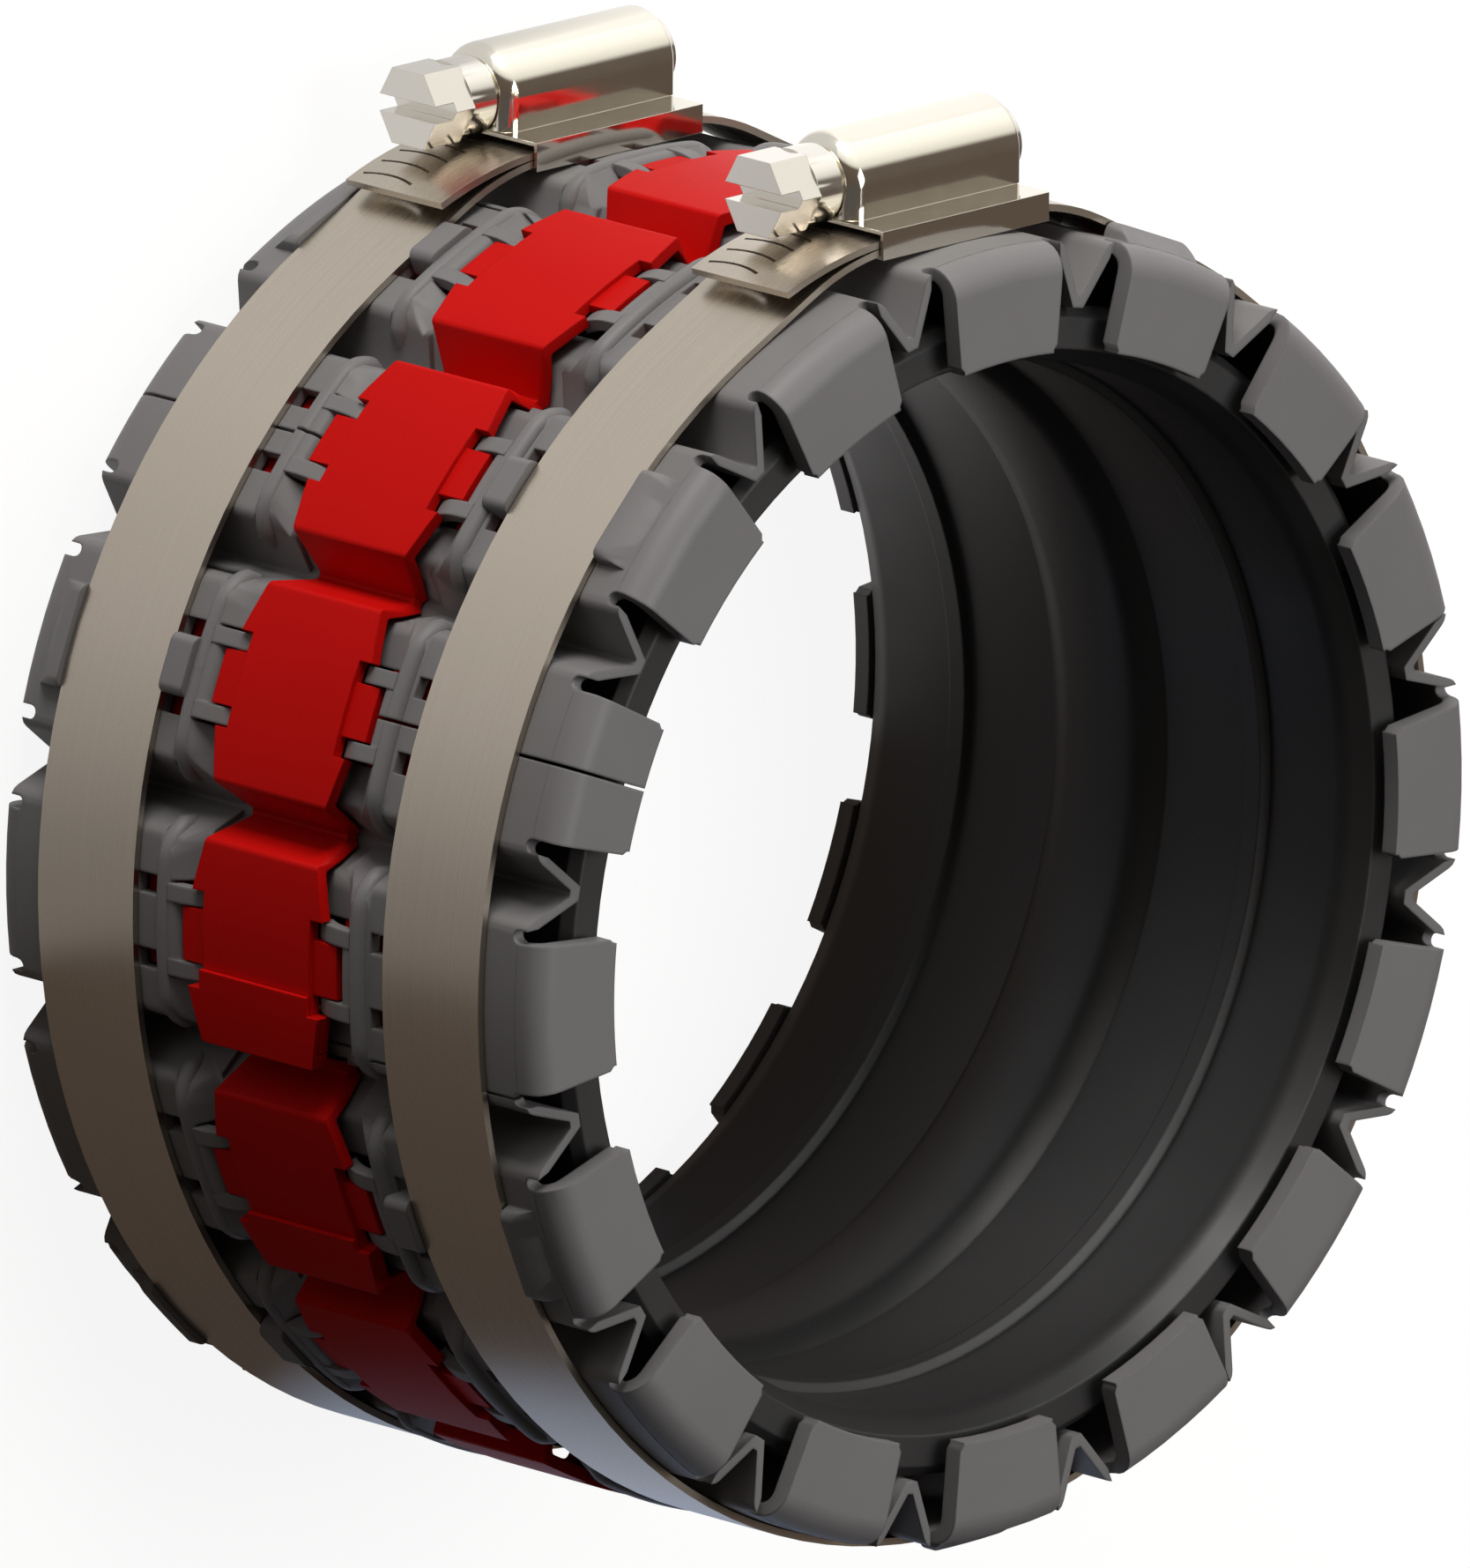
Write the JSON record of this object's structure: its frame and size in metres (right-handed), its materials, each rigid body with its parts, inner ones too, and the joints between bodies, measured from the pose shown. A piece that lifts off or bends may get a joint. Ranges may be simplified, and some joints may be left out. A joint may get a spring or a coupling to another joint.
{
  "type": "clamp coupling",
  "caption": "Flexible pipe coupling: a rubber sleeve in pleated plastic shells and a hooked centre ring, drawn on the pipes by two worm drive bands.",
  "frame": {"origin": "on the pipe axis, half way along the coupling", "axes": "+Z along the pipe axis towards the upper band, +Y towards the clamp screws, +X to the right of the screws seen from the +Z end"},
  "size_m": [0.1402, 0.1503, 0.0792],
  "materials": {
    "rubber": "moulded, matt",
    "grey_plastic": "moulded, satin",
    "red_plastic": "moulded, satin",
    "band_steel": "rolled strip",
    "housing_steel": "pressed, bright",
    "screw_steel": "turned, bright"
  },
  "bodies": {
    "coupling": {"rubber_sleeve": "rubber", "upper_shell": "grey_plastic", "upper_shell_link": "grey_plastic", "lower_shell": "grey_plastic", "lower_shell_link": "grey_plastic", "centre_ring": "red_plastic", "centre_ring_link": "red_plastic", "upper_band": "band_steel", "upper_saddle": "housing_steel", "upper_barrel": "housing_steel", "lower_band": "band_steel", "lower_saddle": "housing_steel", "lower_barrel": "housing_steel"},
    "upper_screw_body": {"upper_screw": "screw_steel"},
    "lower_screw_body": {"lower_screw": "screw_steel"}
  },
  "joints": [
    {"name": "upper_screw_turn", "type": "hinge", "parent": "coupling", "child": "upper_screw_body", "pos_m": [0.00078, 0.0749, 0.02265], "axis": [0.9999, -0.0105, 0], "continuous": true},
    {"name": "lower_screw_turn", "type": "hinge", "parent": "coupling", "child": "lower_screw_body", "pos_m": [0.00078, 0.0749, -0.02765], "axis": [0.9999, -0.0105, 0], "continuous": true}
  ]
}
